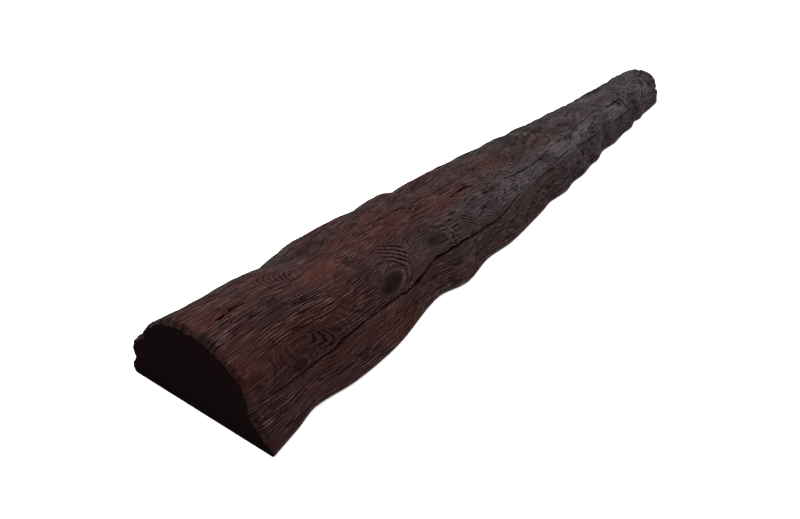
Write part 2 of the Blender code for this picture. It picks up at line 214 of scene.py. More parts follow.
# Long zones where the stain is thin and the wood shows red, and smooth, glossier zones with grey painted
# sheen:
# (distance, share, half length, half width, strength)
RED_ZONES = thousandths(
    (200, 395, 60, 12, 1000), (330, 430, 110, 14, 850), (125, 280, 90, 9, 750), (520, 380, 90, 18, 320),
    (30, 300, 40, 20, 300), (60, 460, 60, 14, 450), (310, 360, 120, 12, 350), (760, 420, 120, 20, 400),
    (1000, 400, 200, 20, 450), (200, 110, 150, 12, 350), (940, 165, 60, 10, 400),
    (1530, 430, 120, 20, 350), (450, 620, 300, 20, 500), (1200, 900, 300, 16, 500),
    (1350, 80, 250, 12, 300),
)
GREY_SHEEN_ZONES = thousandths(
    (87, 336, 26, 11, 1200), (144, 362, 12, 7, 1100), (225, 310, 30, 14, 550), (275, 215, 60, 18, 450),
    (550, 280, 50, 10, 900), (700, 350, 50, 16, 700), (430, 105, 30, 20, 300), (80, 460, 25, 8, 400),
    (900, 300, 110, 22, 800), (1200, 260, 200, 24, 700), (1650, 250, 150, 26, 700),
    (1000, 540, 100, 26, 500), (1500, 520, 250, 30, 600), (2050, 300, 200, 60, 700),
    (1950, 450, 300, 50, 500),
)
# Eyes of the healed knots: (distance, share, half length, half width, strength)
EYES = thousandths(
    (275, 217, 36, 13, 800), (420, 238, 24, 11, 600), (79, 166, 14, 8, 450), (508, 262, 12, 6, 500),
    (612, 300, 14, 8, 600), (728, 240, 22, 10, 600), (1050, 240, 30, 12, 150), (1660, 262, 22, 10, 900),
    (1330, 235, 30, 12, 200), (2060, 300, 30, 14, 700), (560, 860, 24, 14, 800), (1450, 870, 26, 14, 800),
    (1120, 500, 22, 10, 500), (1950, 530, 26, 12, 700),
)
# Patches of ribbed figure, laid open across the grain, in metres and degrees:
# (distance, share, angle, pitch, bow, half length, half width, strength)
RIBS = (
    (0.32, 0.29, -36, 0.0078, 0.3, 0.034, 0.026, 1.3), (0.238, 0.3, 78, 0.004, 0.6, 0.014, 0.018, 0.5),
    (0.138, 0.47, 58, 0.0068, 1.3, 0.02, 0.032, 0.55), (0.122, 0.197, 58, 0.012, -1.9, 0.015, 0.028, 0.62),
    (0.404, 0.248, 75, 0.0056, -0.8, 0.016, 0.018, 0.4), (0.519, 0.24, -32, 0.0054, 0.4, 0.03, 0.014, 0.8),
    (0.514, 0.35, 80, 0.0085, 0.5, 0.02, 0.036, 0.75), (0.305, 0.092, 8, 0.0046, -0.5, 0.04, 0.02, 1.1),
    (0.616, 0.205, 75, 0.007, -0.8, 0.018, 0.026, 0.6), (0.35, 0.24, 66, 0.0052, -0.6, 0.01, 0.014, 0.4),
    (0.975, 0.44, 12, 0.02, 0.4, 0.09, 0.04, 0.4), (0.74, 0.3, -30, 0.009, 0.4, 0.04, 0.02, 0.5),
    (1.655, 0.262, 72, 0.015, -0.6, 0.02, 0.06, 1.0), (1.33, 0.42, 14, 0.02, 0.4, 0.08, 0.04, 0.35),
    (2.02, 0.31, 60, 0.022, -0.6, 0.024, 0.06, 0.6), (0.3, 0.8, 60, 0.008, 0.5, 0.02, 0.04, 0.6),
    (0.073, 0.212, 95, 0.011, 0.9, 0.018, 0.016, 0.3),
    (0.156, 0.212, 105, 0.0095, -0.6, 0.016, 0.013, 0.34),
)
# Drying cracks and other dark marks that are only as deep as the stain, and patches of painted shade in
# dents and hollows of the far half: (distance, share, slope, half length, half width, darkness)
HAIRLINES_AND_DENT_SHADE = thousandths(
    (140, 262, -20, 65, 1.1, 650), (50, 345, 50, 35, 0.9, 500), (190, 468, 100, 25, 1, 600),
    (225, 452, -50, 22, 1, 600), (470, 452, -60, 120, 1, 500), (420, 355, 20, 22, 1.2, 600),
    (85, 385, 40, 30, 0.8, 450), (260, 400, 60, 40, 0.8, 450), (150, 330, 50, 35, 0.8, 450),
    (65, 205, 100, 30, 0.9, 500), (380, 320, 100, 30, 0.9, 450), (480, 410, 40, 45, 1, 500),
    (640, 400, 50, 40, 1.2, 500), (360, 100, 120, 50, 1, 500), (470, 120, 100, 50, 1, 500),
    (560, 105, 80, 50, 1.2, 500), (245, 363, -1100, 22, 1.6, 750), (285, 350, 350, 30, 1.4, 700),
    (175, 455, 250, 40, 0.9, 550), (100, 100, 100, 70, 0.9, 500), (200, 125, 100, 60, 0.9, 500),
    (180, 70, 50, 80, 0.8, 450), (350, 405, 80, 60, 0.9, 450), (435, 385, 100, 30, 1.2, 600),
    (480, 280, -250, 30, 1, 500), (560, 410, 50, 50, 1.1, 550), (700, 108, 50, 30, 2.2, 800),
    (640, 320, 700, 22, 1.8, 700), (780, 330, 300, 40, 1.6, 600), (930, 182, 150, 50, 2.6, 750),
    (1125, 335, -600, 50, 2.6, 750), (1146, 215, -6000, 14, 38, 800), (1075, 474, 150, 80, 17, 620),
    (921, 500, 150, 60, 14, 620), (1134, 279, 500, 16, 11, 850), (1630, 300, -90, 100, 4.5, 850),
    (1718, 230, -4000, 16, 26, 900), (1833, 208, -8000, 9, 56, 750), (1989, 187, 1000, 35, 14, 850),
    (2161, 254, -2000, 22, 16, 850), (2157, 398, 50, 85, 4.5, 750), (1215, 375, 500, 20, 4, 550),
    (1050, 195, 50, 120, 3, 550), (1250, 190, -30, 140, 4.5, 600), (1440, 188, 20, 80, 4.5, 600),
    (1560, 235, -250, 60, 3.4, 500), (1300, 240, 100, 60, 2.6, 500), (1360, 450, 500, 60, 4.4, 500),
    (1790, 330, 400, 60, 4.4, 600), (1880, 260, -500, 40, 6, 700), (1930, 320, 500, 30, 6, 700),
    (1980, 220, 300, 60, 5, 600), (2030, 360, -600, 40, 5, 600),
)
FAR_AWAY = 9.0  # in radii or half widths, where no eye or hairline crack is near
EYE_SIDE, EYE_TURN = 0.3, 0.75  # strength of the rings beside an eye, and how it grows to the far side
HAIR_REACH, HAIR_END = 4, 1.2  # in half widths and half lengths, where a hairline crack starts to fade
RIB_EDGE = 1.5  # how firm the border of a ribbed patch is
ZONE_REACH, ZONE_RAGGED, FIGURE_RAGGED = 1.6, 0.5, 1.2
DRIFT_LENGTH, DRIFT_GIRTH = 0.06, 0.02
RING_STEP = 0.0011  # growth of the log in a year
RING_WANDER, RING_WANDER_LENGTH, RING_WANDER_GIRTH = 0.003, 0.34, 0.06

# Mesh: ring spacing by distance from the near end, and the spacing of the lengthwise lines
RING_SPACING = ((0.0, 0.003), (0.45, 0.003), (0.7, 0.0038), (1.0, 0.0056), (2.25, 0.008))
SEEN_SPACING, HIDDEN_SPACING = 0.00175, 0.004
SEEN_FROM, SEEN_TO = 0.11, 0.62
CRACK_COLUMNS = (-0.006, -0.0036, -0.0021, -0.0011, 0.0, 0.0011, 0.0021, 0.0036, 0.006)
COLUMN_GAP, SHORTEST = 0.0008, 0.001  # least room beside a crack's columns, and shortest step of the mesh
UNDERSIDE_COLUMNS = 8
RIM_RINGS = (0.0, 0.12, 0.35, 0.65)
END_RINGS = (0.985, 0.95, 0.86, 0.74, 0.61, 0.48, 0.35, 0.22, 0.11)
PITH_SIDE, PITH_HEIGHT = 0.004, 0.034
SAW_ROUGHNESS, SAW_PITCH, SAW_FADE = 0.001, 0.012, 0.05
SHARP_ANGLE = math.radians(50)
COAT_ROUGHNESS = 0.45

# Noises of the stain: (length along the grain, width across it, layer, detail, roughness)
PATTERNS = {
    "drift": (0.11, 0.016, 40.1, 2.0, 0.5),  # how the fibres bend
    "broken": (0.03, 0.006, 2.2, 2.0, 0.6),  # where the fibres break off
    "dash": (0.024, 0.0015, 3.7, 1.0, 0.6),  # short fine flecks
    "tuft": (0.04, 0.0046, 44.7, 1.0, 0.6),  # coarse flecks of the far half
    "cloud": (0.12, 0.06, 5.3, 3.0, 0.6),  # clouds in the stain
    "grove": (0.07, 0.02, 15.1, 2.0, 0.6),  # patches with more grain
    "wobble": (0.016, 0.004, 21.0, 2.0, 0.55),  # unsteadiness of the drawn lines
}
# Thin lines of the stain, and thin lines of painted glint: (length along the grain, width across it, layer,
# share of the noise on the line)
THIN_LINES = {
    "slit": (0.05, 0.0048, 8.4, 0.026),
    "glint": (0.028, 0.0036, 11.6, 0.024),
    "crease": (0.12, 0.0095, 27.7, 0.04),
    "far_glint": (0.1, 0.0085, 52.3, 0.036),
    "fold": (0.15, 0.034, 17.3, 0.014),
}
# Parts of a noise's range over which it comes in
GROVES, UNBROKEN = (0.42, 0.6), (0.3, 0.66)
# The last of these is where the band of painted sheen on the right shoulder comes through the clouds
FIGURED_CLOUDS, RED_CLOUDS, SHEEN_CLOUDS = (0.5, 0.64), (0.5, 0.68), (0.4, 0.58, 0.32, 1.0)
# Borders along the beam, in metres from the near end
FAR_HALF, CLOSE_HALF, NEAR_FOOT = (0.55, 1.2), (0.25, 0.6), (0.16, 0.34)
# The second pair is where the band of painted sheen on the right shoulder begins
FLANK_START, SHEEN_START = (0.22, 0.45), (0.15, 0.75)
# The first pair is where the painted cool sheen of the middle begins, the second where the painted shade of
# the low near flank ends
COOL_START, NEAR_LOW_END = (0.15, 0.5), (0.16, 0.3)
# Borders round the beam, as shares of the way round
# Borders of the band of painted sheen on the right shoulder
SHEEN_LOW, SHEEN_HIGH = (0.17, 0.22), (0.28, 0.36)
# The last pair bounds the painted cool sheen low on the middle of the beam
FLANK, LOW_SIDE, COOL_SIDE = (0.1, 0.16), (0.24, 0.32), (0.26, 0.38)
# Sides with painted shade, as (from, to, share of the dark colour at the one and at the other)
SHADE_FOOT, SHADE_FAR_LEFT = (0.1, 0.19, 0.4, 0.0), (0.33, 0.44, 0.0, 0.2)
SHADE_NEAR_LOW, SHADE_LEFT = (0.26, 0.34, 0.16, 0.0), (0.46, 0.6, 0.0, 0.62)
# Shares of the grey painted sheen, of the cool painted sheen far and in the middle, of the red fibres, and of
# the painted sheen on the fibres far and on the shoulder
GREY_SHEEN_SHARE, COOL_FAR, COOL_MIDDLE = 0.75, 0.5, 0.24
RED_FIBRES, FAR_FIBRES, SHEEN_FIBRES = 0.7, 0.55, 0.08
# Even fibres of the near and the middle part, and how far they bend, in fibres
STRAND_PITCH, CORD_PITCH, CORD_SHARE = 0.0036, 0.0056, 0.8
STRAND_DRIFT, CORD_DRIFT = 1.4, 1.3
LEAST_GRAIN, CLOUD_FIGURE, CLOUD_RED = 0.38, 0.1, 0.7
# How much of the straight grain gives way to each look, and how much more or less the two flanks show
TO_FIGURE, TO_SMOOTH, TO_RIBS, TO_FAR = 0.5, 0.8, 1.1, 0.48
FLANK_GAIN, LOW_SIDE_LOSS, RED_LOSS = 0.9, 0.22, 0.5
# How much each mark lightens or darkens the stain
COMB_TONE, DASH_TONE, TUFT_TONE = 0.2, 0.7, 0.22
GLINT_TONE, SLIT_TONE, RIB_TONE = 0.15, 0.2, 0.26
# Of these, the third lightens the painted glint lines of the far half, and the last is how strongly those
# lines and the creases show in the band of painted sheen
FOLD_TONE, CLOUD_TONE, FAR_GLINT_TONE, CREASE_TONE, SHEEN_BAND_TONE = 0.13, 0.22, 0.09, 0.13, 0.7
LINE_TONE, LINE_WOBBLE_TONE, RIM_TONE, NEAR_FOLDS = 0.14, 0.28, 0.05, 0.15
FIBRE_TONES, SUNK_TONES, WAXED_TONES = (0.475, 0.7), (0.28, 0.49, 0.95, 0.0), (0.4, 0.66)
DULL, TONE_GLOSS, SMOOTH_GLOSS, FIGURE_GLOSS = 0.62, 0.25, 0.1, 0.06
CRACK_DARK, HAIR_SINK = (0.05, 0.6), 0.15
# Rings round a knot's eye: (distance in radii, half width, tone)
EYE_RINGS = ((1.06, 0.14, 0.12), (1.62, 0.12, 0.06), (1.34, 0.12, -0.16), (1.84, 0.12, -0.112))
EYE_TONE, EYE_CALM, EYE_BORDER, EYE_SURROUND = -0.17, 0.8, (0.6, 1.1), (0.9, 1.7)
EYE_WOBBLE, RIB_WOBBLE, RING_WOBBLE, HAIR_WOBBLE = 0.45, 0.9, 0.55, 2.0
RIB_LINE, HAIR_EDGE = (0.24, 0.44, -0.1, 1.0), (0.4, 1.1)
FIGURE_LINE, FIGURE_RIM = (0.28, 0.42), (0.0, 0.2)
# The dark rim of the sawn ends, and how much wider it gets round the side as (extra, (from, to))
RIM_REACH, RIM_DARKEST, RIM_STAIN, RIM_RAGGED = 0.008, 0.001, 0.6, 0.006
RIM_WIDER = ((0.008, (0.5, 0.7)), (0.03, (0.7, 0.77)))
STAIN_BUMP = 0.006
RELIEF_HEIGHT, RELIEF_GAIN, FIGURE_CALM = 0.0007, 2.6, 0.55
# Fibres as (length, width, layers for each figure line), and ridges as (length, width, layer)
FIBRE_SIZE, RIDGE_SIZE = (0.055, 0.0042, 0.03), (0.13, 0.009, 40.0)
# The sawn underside and the sawn ends
STREAK_LENGTH, STREAK_WIDTH, STREAK_TONES = 0.09, 0.0035, (0.38, 0.66)
SAW_BOW, SAW_STEP, SAW_MARK_LENGTH, SAW_BUMP = 0.35, 0.003, 0.12, 0.0008
SAW_TONES, MARK_DULL = (0.52, 0.7, 0.0, 0.4), 0.12
END_RING_STEP, END_WANDER, END_WANDER_SCALE = 0.0042, 3.0, 16.0
END_LINE, END_LINE_SHARE = (0.22, 0.48), 0.3
END_SAW_LENGTH, END_SAW_SLOPE, END_SAW_STEP = 0.06, 0.4, 0.0022
PORE_SCALE, PORE_TONES = 900.0, (0.56, 0.75, 0.0, 0.35)
END_DULL, PORE_DULL = 0.85, 0.1

# Camera and light, as the photograph has them
CAMERA_BACK, CAMERA_SIDE, CAMERA_HEIGHT = 0.2815, -0.479, 0.465
CAMERA_YAW, CAMERA_PITCH = 0.579, 0.478
LENS, SENSOR = 24.4, 36.0
SOFTBOX_SPREAD, SOFTBOX_TURN = math.radians(130), (math.radians(-14), math.radians(16), 0)
PANEL_SIZE, PANEL_PLACE, PANEL_AIM = (7.0, 2.6), (4.8, 1.2, 1.75), (0, 0, 0.1)
FLOOR_GREY, FLOOR_GLOW, FLOOR_GAP = 0.93, 0.3, 0.0004


def along(points, x):
    """The smooth curve through (distance, value) points, read at each x."""
    at, value = np.array(points).T
    slope = np.gradient(value)
    slope[1:-1] = (value[2:] - value[:-2]) / (at[2:] - at[:-2])
    slope[0] = (value[1] - value[0]) / (at[1] - at[0])
    slope[-1] = (value[-1] - value[-2]) / (at[-1] - at[-2])
    i = np.clip(np.searchsorted(at, x, side="right") - 1, 0, len(at) - 2)
    span = at[i + 1] - at[i]
    t = (x - at[i]) / span
    return (
        (2 * t**3 - 3 * t**2 + 1) * value[i]
        + (t**3 - 2 * t**2 + t) * span * slope[i]
        + (3 * t**2 - 2 * t**3) * value[i + 1]
        + (t**3 - t**2) * span * slope[i + 1]
    )


def ease(t):
    t = np.clip(t, 0.0, 1.0)
    return t * t * (3 - 2 * t)


def hump(v, centre, spread):
    return np.exp(-(((v - centre) / spread) ** 2))


def swell(v, place, spread, height):
    return height * hump(v, place, spread)


def off_edges(v, fade):
    """0 at the two arrises and 1 away from them."""
    return ease(v / fade) * ease((1 - v) / fade)


def rough(x, v, length, girth, layer):
    """Smooth noise of about -1 to 1, with its own size along and round the beam. Layers differ."""
    x, v = np.broadcast_arrays(x, v)
    spots = np.stack([x / length, v * GIRTH / girth, np.full(x.shape, layer * LAYER_STEP)], -1).reshape(-1, 3)
    found = np.fromiter((noise.noise(spot) for spot in spots.tolist()), float, len(spots))
    return NOISE_GAIN * found.reshape(x.shape)


def waver(x, mean, change, length, layer):
    """A value that wavers about its mean along the beam."""
    return mean + change * rough(x, 0.0, length, 1.0, layer)


def half_widths(x):
    wave = waver(x, 0.0, EDGE_WAVE, EDGE_WAVE_LENGTH, 3)
    left = HALF_WIDTH + SHOULDER_TO_ARRIS * along(LEFT_SHOULDER, x)
    return along(RIGHT_HALF_WIDTH, x), left + wave * (1 - np.exp(-x / END_REACH))


def crack_depth(stretches, x):
    """Depth of a crack at x: nothing between its open stretches, most in the middle of each."""
    depth = np.zeros_like(x)
    gape = waver(x, *GAPE_WAVER)
    for start, end, most in stretches:
        share = np.sin(math.pi * np.clip((x - start) / (end - start), 0, 1))
        depth = np.maximum(depth, most * np.sqrt(np.maximum(share, 0)) * gape)
    return depth


def knot_relief(x, v):
    """Swelling round each healed stub, with a shallow eye in its middle."""
    total = np.zeros_like(x * v)
    for at, share, bulge, radius in KNOTS:
        away = np.hypot((x - at) / (KNOT_STRETCH * radius), (v - share) * GIRTH / radius)
        total += bulge * (hump(away, 0.0, 1.0) - EYE_DEPTH * hump(away, 0.0, EYE_SIZE))
    return total


def lip_relief(x, v):
    """The wood stands proud above each open crack, where it grew over the fold."""
    offset, spread, rise = CRACK_LIP
    return sum(
        crack_depth(stretches, x) * swell(v, along(path, x) + offset, spread, rise)
        for path, stretches in CRACKS
    )


def flank_hollow(x, v, near, far):
    """The hollows just above the two arrises, which make the foot of the section flare."""
    depth = waver(x, *HOLLOW_WAVER)
    hollow = depth * (1 - near - far) * swell(v, *RIGHT_FLANK_HOLLOW) + near * swell(v, *NEAR_END_HOLLOW)
    return (hollow + depth * (1 - near) * swell(v, *LEFT_FLANK_HOLLOW)) * off_edges(v, FLANK_FADE)


def crease(x, v):
    """The fold along the right flank, on the line of the long crack."""
    start, end, spread, deep = RIGHT_CREASE
    here = ease((x - start) / CREASE_FADE) * ease((end - x) / CREASE_FADE)
    return here * swell(v, along(CRACKS[0][0], x), spread, deep)


def shoulder_relief(x, v):
    """The long swellings of the two shoulders and the dent across the right-hand one."""
    out = along(LEFT_SHOULDER, x) * hump(v, SHOULDER_PLACE, SHOULDER_SPREAD)
    out = out + swell(v, *RIGHT_SHOULDER_SWELL) * waver(x, *SHOULDER_WAVER)
    out = out - swell(v, *LEFT_SHOULDER_EASE)
    return out - swell(x, *CROSS_HOLLOW) * hump(v, CROSS_HOLLOW_PLACE, CROSS_HOLLOW_GIRTH)


def lump_relief(x, v):
    lumps = LUMP * rough(x, v, LUMP_LENGTH, LUMP_GIRTH, 0)
    lumps += FACET * rough(x, v, FACET_LENGTH, FACET_GIRTH, 4)
    return lumps * (1 - hump(v, QUIET_SHOULDER, QUIET_SPREAD))


def wrinkle_relief(x, v):
    """Depth of the worn wood's sharp folds, which lie along the grain."""
    fold = np.abs(rough(x, v, WRINKLE_LENGTH, WRINKLE_GIRTH, 9))
    fold = fold + FOLD * np.abs(rough(x, v, FOLD_LENGTH, FOLD_GIRTH, 12))
    grown = WRINKLE_BASE + WRINKLE_RISE * ease((x - WRINKLE_FROM) / RISE_LENGTH)
    return WRINKLE * np.maximum(1 - FOLD_SHARPNESS * fold, 0) ** 1.5 * grown


def dimple_relief(x, v):
    """Shallow dimples, deeper towards the worn far end."""
    grown = 1 + DIMPLE_RISE * ease((x - DIMPLE_FROM) / RISE_LENGTH)
    return DIMPLE * grown * rough(x, v, DIMPLE_LENGTH, DIMPLE_GIRTH, 8)


def rim_wear(x, v):
    """How far the edge round a sawn end is worn back."""
    short = np.clip(1 - np.minimum(x, LENGTH - x) / RIM, 0, 1)
    round_off = RIM_DEPTH * (1 - np.sqrt(np.maximum(0.0, 1 - short * short)))
    chip = CHIP_MEAN + sum(change * rough(0.0, v, 1.0, girth, layer) for change, girth, layer in CHIPS)
    return round_off * chip * off_edges(v, FLANK_FADE)


def crack_groove(x, v):
    """Depth of the cracks' sharp grooves, and how deep inside a crack each place is, from 0 to 1."""
    groove = np.zeros_like(v)
    inside = np.zeros_like(v)
    for k, (path, stretches) in enumerate(CRACKS):
        depth = crack_depth(stretches, x)
        line = along(path, x)
        mouth = CRACK_MOUTH + CRACK_OPENING[k] * depth * waver(x, *MOUTH_WAVER, 10 + k)
        if k == 0:
            place, spread, extra = MAIN_CRACK_GAPE
            mouth = mouth * (1 + extra * hump(x, place, spread))
        wander = waver(x, *CRACK_WANDER, 20 + k) + waver(x, *CRACK_JAG, 26 + k)
        off = np.abs((v - line) * GIRTH - wander) / mouth
        profile = np.clip(1 - off, 0, 1) ** CRACK_WALL
        groove = np.maximum(groove, depth * profile)
        inside = np.maximum(inside, profile * np.clip(depth / CRACK_FULL_DEPTH, 0, 1))
    return groove, inside


def waves(layers, x, v):
    """The sum of several noises, each given by its height, length, girth and layer."""
    return sum(height * rough(x, v, length, girth, layer) for height, length, girth, layer in layers)


def grain_across(x, v):
    """Distance round the section, measured between grain lines that part round each knot."""
    across = v * GIRTH * np.ones_like(x)
    for at, share, bulge, radius in KNOTS:
        dy = (v - share) * GIRTH
        away2 = ((x - at) / (KNOT_STRETCH * radius)) ** 2 + (dy / radius) ** 2
        across = across - dy * KNOT_PARTING * np.exp(-away2)
    return across + waves(GRAIN_WAVES, x, v)


def figure_lines(x, v, ring):
    """Count of figure lines: growth rings laid open by the relief, closing round each centre."""
    count = ring
    warp_x, warp_y = waves(WARPS_ALONG, x, v), waves(WARPS_ROUND, x, v)
    for at, share, reach, stretch, step in CENTRES:
        away = np.hypot((x - at + warp_x) * stretch, (v - share) * GIRTH + warp_y)
        inside = (reach - away) / step
        start = FIGURE_START * (1 - np.exp(-np.maximum(inside, 0) / FIGURE_START))
        count = count + np.where(inside > 0, inside - start, 0)
    return count


def nearest_eye(x, v):
    """Distance from the nearest eye in its radii, strength of the rings there, and the eye's strength."""
    away, side, power = np.full(v.shape, FAR_AWAY), np.zeros(v.shape), np.zeros(v.shape)
    for at, share, long, wide, strength in EYES:
        dx, dy = (x - at) / long, (v - share) * GIRTH / wide
        here = np.hypot(dx, dy)
        nearer = here < away
        away = np.where(nearer, here, away)
        beyond = np.clip(EYE_SIDE + EYE_TURN * dx / np.maximum(here, 0.1), 0, 1)
        side = np.where(nearer, beyond, side)
        power = np.where(nearer, strength, power)
    return np.stack([away, side, power], -1)


def nearest_hairline_or_dent_shade(x, v):
    """Place beside and along the darkest hairline crack or patch of painted dent shade, in half widths and
    lengths, and its darkness.
    """
    off, length, dark = np.full(v.shape, FAR_AWAY), np.full(v.shape, FAR_AWAY), np.zeros(v.shape)
    for at, share, slope, long, wide, strength in HAIRLINES_AND_DENT_SHADE:
        beside = (v - share - slope * (x - at)) * GIRTH / wide
        along_it = (x - at + 0 * v) / long
        beyond = ease(np.abs(beside) / HAIR_REACH - 1), ease(np.abs(along_it) - HAIR_END)
        here = strength * (1 - beyond[0]) * (1 - beyond[1])
        darker = here > dark
        off, length = np.where(darker, beside, off), np.where(darker, along_it, length)
        dark = np.where(darker, here, dark)
    return np.stack([off, length, dark], -1)


def ribbed_figure(x, v):
    """Count of ribs across the strongest patch at each place, and how strongly they show."""
    count, power = np.zeros(v.shape), np.zeros(v.shape)
    for at, share, angle, pitch, bow, long, wide, strength in RIBS:
        turn = math.radians(angle)
        dx, dy = x - at, (v - share) * GIRTH
        length = (dx * math.cos(turn) + dy * math.sin(turn)) / long
        width = dy * math.cos(turn) - dx * math.sin(turn)
        here = strength * np.clip(RIB_EDGE * (1 - length**2 - (width / wide) ** 2), 0, 1)
        stronger = here > power
        count = np.where(stronger, width / pitch + bow * length**2, count)
        power = np.where(stronger, here, power)
    return np.stack([count, power, 0 * count], -1)


def zone(zones, x, v, drift):
    """Strength of the strongest zone at each place, with a ragged border."""
    total = np.zeros_like(v)
    for at, share, long, wide, power in zones:
        away = ((x - at) / long) ** 2 + ((v - share) * GIRTH / (wide * ZONE_REACH)) ** 2
        total = np.maximum(total, power * np.exp(-away * (1 + ZONE_RAGGED * drift)))
    return total


def column_places():
    """Share of the way round of each lengthwise line, closer on the seen side and at the cracks."""
    marks = [0.0]
    while marks[-1] < 1:
        seen = SEEN_FROM < marks[-1] < SEEN_TO
        marks.append(marks[-1] + (SEEN_SPACING if seen else HIDDEN_SPACING) / GIRTH)
    marks = np.array(marks[:-1])
    clear = (CRACK_COLUMNS[-1] + COLUMN_GAP) / GIRTH
    for line in CRACK_LINES:
        marks = marks[np.abs(marks - line) > clear]
    extra = [line + off / GIRTH for line in CRACK_LINES for off in CRACK_COLUMNS]
    return np.sort(np.concatenate([marks[marks < 1 - SHORTEST / GIRTH], extra, [1.0]]))


def ring_places():
    """Distance of each ring of points from the near end, closer where the grain swirls most."""
    places = [RIM * share for share in RIM_RINGS]
    end = LENGTH - RIM
    x = RIM
    while x < end:
        places.append(x)
        x += float(np.interp(x, *np.array(RING_SPACING).T))
    if end - places[-1] < SHORTEST:
        places.pop()
    return np.array(places + [end] + [LENGTH - RIM * share for share in reversed(RIM_RINGS)])


def lines_to_places(x, columns):
    """Bends the lengthwise lines so that each crack keeps the same lines all along."""
    marks = np.array((0.0,) + CRACK_LINES + (1.0,))
    places = np.empty((len(x), len(columns)))
    paths = np.stack([np.zeros_like(x)] + [along(path, x) for path, _ in CRACKS] + [np.ones_like(x)])
    for i, at in enumerate(paths.T):
        places[i] = np.interp(columns, marks, at)
    return places


def skin():
    """Points of the rounded side, with the grain coordinates that the relief and the stain follow."""
    x = ring_places()[:, None]
    v = lines_to_places(x[:, 0], column_places())
    right, left = half_widths(x)
    near, far = np.exp(-x / END_REACH), np.exp((x - LENGTH) / END_REACH)
    lumps, knots = lump_relief(x, v), knot_relief(x, v)
    out = shoulder_relief(x, v) + lumps + knots + lip_relief(x, v)
    out = out * off_edges(v, ARRIS_FADE) - flank_hollow(x, v, near, far) - crease(x, v)
    out += near * sum(swell(v, *bump) for bump in NEAR_END_BUMPS)
    out += far * sum(swell(v, *bump) for bump in FAR_END_BUMPS)
    groove, inside = crack_groove(x, v)
    foot = off_edges(v, FOOT)
    wrinkles, dimples = wrinkle_relief(x, v), dimple_relief(x, v)
    out = out - rim_wear(x, v) - groove + (dimples - wrinkles) * foot
    turn = math.pi * v
    y = -(np.where(v < 0.5, right, left) + out) * np.cos(turn)
    z = ARRIS + (HEIGHT - ARRIS + out) * np.sin(turn)
    wander = RING_WANDER * rough(x, v, RING_WANDER_LENGTH, RING_WANDER_GIRTH, 34)
    ring = (lumps + knots + wander) / RING_STEP
    skew = NEAR_END_SKEW * (1 - np.cos(turn)) / 2 * near
    points = np.stack([x - LENGTH / 2 + skew, y, z], -1)
    mask = foot * ease(np.minimum(x, LENGTH - x) / RIM) * (1 - inside)
    drift = rough(x, v, DRIFT_LENGTH, DRIFT_GIRTH, 35)
    # How dark the cracks and folds are painted: stain and painted shade of their depth
    dark_from = np.where(v < FLANK_SHARE, ease((x - CRACK_STAIN_AND_SHADE_FROM) / CRACK_STAIN_AND_SHADE_FADE), 1.0)
    inside = inside * (CRACK_STAIN_AND_SHADE + (1 - CRACK_STAIN_AND_SHADE) * dark_from)
    sunk = np.maximum(inside, WRINKLE_STAIN_AND_SHADE * wrinkles / WRINKLE)
    return points, {
        "grain": np.stack([x + 0 * v, grain_across(x, v), figure_lines(x, v, ring)], -1),
        "state": np.stack([sunk, zone(FIGURES, x, v, FIGURE_RAGGED * drift), mask], -1),
        "tint": np.stack([zone(RED_ZONES, x, v, drift), zone(GREY_SHEEN_ZONES, x, v, drift), v + 0 * x], -1),
        "eye": nearest_eye(x, v),
        "rib": ribbed_figure(x, v),
        "hair": nearest_hairline_or_dent_shade(x, v),
    }


def closed_timber(points, fields):
    """Adds the sawn underside and the two sawn ends to the rounded side, as one closed mesh."""
    rings, columns = points.shape[:2]
    share = np.linspace(0, 1, UNDERSIDE_COLUMNS)[None, :, None]
    start = points[:, -1:] + (0, -ARRIS, 0)
    end = points[:, :1] + (0, ARRIS, 0)
    under = start + (end - start) * share
    under[:, :, 2] = 0.0
    loops = np.concatenate([points, under], 1)
    middle = (loops[..., 1].min() + loops[..., 1].max()) / 2
    loops[..., 1] -= middle
    wide = loops.shape[1]
    verts = [loops.reshape(-1, 3)]
    here = np.arange(wide)
    there = (here + 1) % wide
    at = np.arange(rings - 1)[:, None] * wide + here
    beside = np.arange(rings - 1)[:, None] * wide + there
    sides = np.stack([at, at + wide, beside + wide, beside], -1)
    underneath = np.broadcast_to(here >= columns - 1, sides.shape[:2])
    quads, slots = [sides.reshape(-1, 4)], [np.where(underneath, 1, 0).reshape(-1)]
    tris = []
    count = rings * wide
    for outline, first, inward in ((loops[0], 0, 1.0), (loops[-1], (rings - 1) * wide, -1.0)):
        centre = np.array([np.ptp(outline[:, 0]) / 2 + outline[:, 0].min(), PITH_SIDE, PITH_HEIGHT])
        before = first
        for ring_share in END_RINGS:
            inner = centre + (outline - centre) * ring_share
            saw = rough(inner[:, 1], inner[:, 2] / GIRTH, SAW_PITCH, SAW_PITCH, 8)
            inner[:, 0] += inward * SAW_ROUGHNESS * np.maximum(0, 1 + saw) * ease((1 - ring_share) / SAW_FADE)
            verts.append(inner)
            quad = np.stack([before + here, before + there, count + there, count + here], -1)
            quads.append(quad if inward > 0 else quad[:, ::-1])
            slots.append(np.full(wide, 2))
            before = count
            count += wide
        verts.append(centre[None] + (inward * SAW_ROUGHNESS, 0, 0))
        fan = np.stack([before + here, before + there, np.full(wide, count)], -1)
        tris.append(fan if inward > 0 else fan[:, ::-1])
        count += 1
    rest = np.zeros((count - rings * wide, 3))
    for name, field in fields.items():
        field = np.concatenate([field, np.zeros_like(under)], 1)
        fields[name] = np.concatenate([field.reshape(-1, 3), rest])
    return *(np.concatenate(part) for part in (verts, quads, tris, slots)), fields


